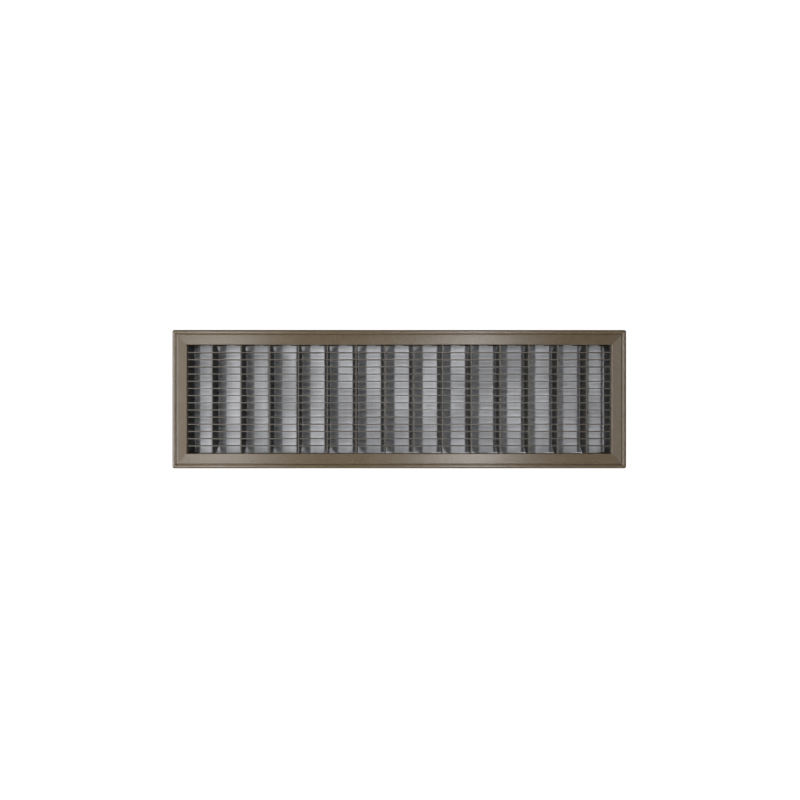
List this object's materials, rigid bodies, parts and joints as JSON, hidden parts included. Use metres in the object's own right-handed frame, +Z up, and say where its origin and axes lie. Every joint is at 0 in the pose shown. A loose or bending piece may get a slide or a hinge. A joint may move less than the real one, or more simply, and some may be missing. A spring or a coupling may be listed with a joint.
{
  "type": "louvred air grille",
  "caption": "Rectangular supply-air register: mitred steel flange frame, egg-crate face of thin bars, and a casing of pressed shutter blades that turn together on a tie bar.",
  "frame": {"origin": "centre of the face opening, in the wall plane that the flange rests on", "axes": "+X along the long side, to the right seen from the front; +Y into the duct, away from the viewer; +Z up"},
  "size_m": [0.65, 0.0471, 0.1986],
  "materials": {
    "frame_enamel": "satin brown-grey enamel",
    "bar_enamel": "satin brown-grey enamel, thinner on the bars",
    "blade_steel": "rolled galvanised sheet",
    "casing_steel": "rolled galvanised sheet"
  },
  "bodies": {
    "housing": {"frame_top": "frame_enamel", "frame_right": "frame_enamel", "frame_bottom": "frame_enamel", "frame_left": "frame_enamel", "gusset_top_right": "casing_steel", "gusset_top_left": "casing_steel", "gusset_bottom_left": "casing_steel", "gusset_bottom_right": "casing_steel", "face_bar_01": "bar_enamel", "face_bar_02": "bar_enamel", "face_bar_03": "bar_enamel", "face_bar_04": "bar_enamel", "face_bar_05": "bar_enamel", "face_bar_06": "bar_enamel", "face_bar_07": "bar_enamel", "face_bar_08": "bar_enamel", "face_bar_09": "bar_enamel", "face_bar_10": "bar_enamel", "face_bar_11": "bar_enamel", "face_bar_12": "bar_enamel", "face_bar_13": "bar_enamel", "face_bar_14": "bar_enamel", "support_bar_01": "bar_enamel", "support_bar_02": "bar_enamel", "support_bar_03": "bar_enamel", "support_bar_04": "bar_enamel", "support_bar_05": "bar_enamel", "support_bar_06": "bar_enamel", "support_bar_07": "bar_enamel", "support_bar_08": "bar_enamel", "support_bar_09": "bar_enamel", "support_bar_10": "bar_enamel", "support_bar_11": "bar_enamel", "support_bar_12": "bar_enamel", "support_bar_13": "bar_enamel", "support_bar_14": "bar_enamel", "casing_rail_top": "casing_steel", "casing_rail_bottom": "casing_steel", "casing_end_right": "casing_steel", "casing_end_left": "casing_steel"},
    "blade_01": {"blade_01": "blade_steel"},
    "blade_02": {"blade_02": "blade_steel"},
    "blade_03": {"blade_03": "blade_steel"},
    "blade_04": {"blade_04": "blade_steel"},
    "blade_05": {"blade_05": "blade_steel"},
    "blade_06": {"blade_06": "blade_steel"},
    "blade_07": {"blade_07": "blade_steel"},
    "blade_08": {"blade_08": "blade_steel"},
    "blade_09": {"blade_09": "blade_steel"},
    "blade_10": {"blade_10": "blade_steel"},
    "blade_11": {"blade_11": "blade_steel"},
    "blade_12": {"blade_12": "blade_steel"},
    "blade_13": {"blade_13": "blade_steel"},
    "blade_14": {"blade_14": "blade_steel"},
    "blade_15": {"blade_15": "blade_steel"},
    "tie_bar": {"tie_bar": "casing_steel"}
  },
  "joints": [
    {"name": "blade_08_turn", "type": "hinge", "parent": "housing", "child": "blade_08", "pos_m": [0, 0.025, 0], "axis": [0, 0, -1], "range_deg": [0, 85]},
    {"name": "blade_01_turn", "type": "hinge", "parent": "housing", "child": "blade_01", "pos_m": [-0.2854, 0.025, 0], "axis": [0, 0, -1], "range_deg": [0, 85]},
    {"name": "blade_02_turn", "type": "hinge", "parent": "housing", "child": "blade_02", "pos_m": [-0.2472, 0.025, 0], "axis": [0, 0, -1], "range_deg": [0, 85]},
    {"name": "blade_03_turn", "type": "hinge", "parent": "housing", "child": "blade_03", "pos_m": [-0.206, 0.025, 0], "axis": [0, 0, -1], "range_deg": [0, 85]},
    {"name": "blade_04_turn", "type": "hinge", "parent": "housing", "child": "blade_04", "pos_m": [-0.1648, 0.025, 0], "axis": [0, 0, -1], "range_deg": [0, 85]},
    {"name": "blade_05_turn", "type": "hinge", "parent": "housing", "child": "blade_05", "pos_m": [-0.1236, 0.025, 0], "axis": [0, 0, -1], "range_deg": [0, 85]},
    {"name": "blade_06_turn", "type": "hinge", "parent": "housing", "child": "blade_06", "pos_m": [-0.0824, 0.025, 0], "axis": [0, 0, -1], "range_deg": [0, 85]},
    {"name": "blade_07_turn", "type": "hinge", "parent": "housing", "child": "blade_07", "pos_m": [-0.0412, 0.025, 0], "axis": [0, 0, -1], "range_deg": [0, 85]},
    {"name": "blade_09_turn", "type": "hinge", "parent": "housing", "child": "blade_09", "pos_m": [0.0412, 0.025, 0], "axis": [0, 0, -1], "range_deg": [0, 85]},
    {"name": "blade_10_turn", "type": "hinge", "parent": "housing", "child": "blade_10", "pos_m": [0.0824, 0.025, 0], "axis": [0, 0, -1], "range_deg": [0, 85]},
    {"name": "blade_11_turn", "type": "hinge", "parent": "housing", "child": "blade_11", "pos_m": [0.1236, 0.025, 0], "axis": [0, 0, -1], "range_deg": [0, 85]},
    {"name": "blade_12_turn", "type": "hinge", "parent": "housing", "child": "blade_12", "pos_m": [0.1648, 0.025, 0], "axis": [0, 0, -1], "range_deg": [0, 85]},
    {"name": "blade_13_turn", "type": "hinge", "parent": "housing", "child": "blade_13", "pos_m": [0.206, 0.025, 0], "axis": [0, 0, -1], "range_deg": [0, 85]},
    {"name": "blade_14_turn", "type": "hinge", "parent": "housing", "child": "blade_14", "pos_m": [0.2472, 0.025, 0], "axis": [0, 0, -1], "range_deg": [0, 85]},
    {"name": "blade_15_turn", "type": "hinge", "parent": "housing", "child": "blade_15", "pos_m": [0.2854, 0.025, 0], "axis": [0, 0, -1], "range_deg": [0, 85]},
    {"name": "tie_bar_pivot", "type": "hinge", "parent": "blade_08", "child": "tie_bar", "pos_m": [-0.009, 0.0305, -0.0799], "axis": [0, 0, -1], "range_deg": [-85, 0]}
  ],
  "couplings": [
    {"joint": "blade_01_turn", "follows": "blade_08_turn", "ratio": 1},
    {"joint": "blade_02_turn", "follows": "blade_08_turn", "ratio": 1},
    {"joint": "blade_03_turn", "follows": "blade_08_turn", "ratio": 1},
    {"joint": "blade_04_turn", "follows": "blade_08_turn", "ratio": 1},
    {"joint": "blade_05_turn", "follows": "blade_08_turn", "ratio": 1},
    {"joint": "blade_06_turn", "follows": "blade_08_turn", "ratio": 1},
    {"joint": "blade_07_turn", "follows": "blade_08_turn", "ratio": 1},
    {"joint": "blade_09_turn", "follows": "blade_08_turn", "ratio": 1},
    {"joint": "blade_10_turn", "follows": "blade_08_turn", "ratio": 1},
    {"joint": "blade_11_turn", "follows": "blade_08_turn", "ratio": 1},
    {"joint": "blade_12_turn", "follows": "blade_08_turn", "ratio": 1},
    {"joint": "blade_13_turn", "follows": "blade_08_turn", "ratio": 1},
    {"joint": "blade_14_turn", "follows": "blade_08_turn", "ratio": 1},
    {"joint": "blade_15_turn", "follows": "blade_08_turn", "ratio": 1},
    {"joint": "tie_bar_pivot", "follows": "blade_08_turn", "ratio": -1}
  ]
}
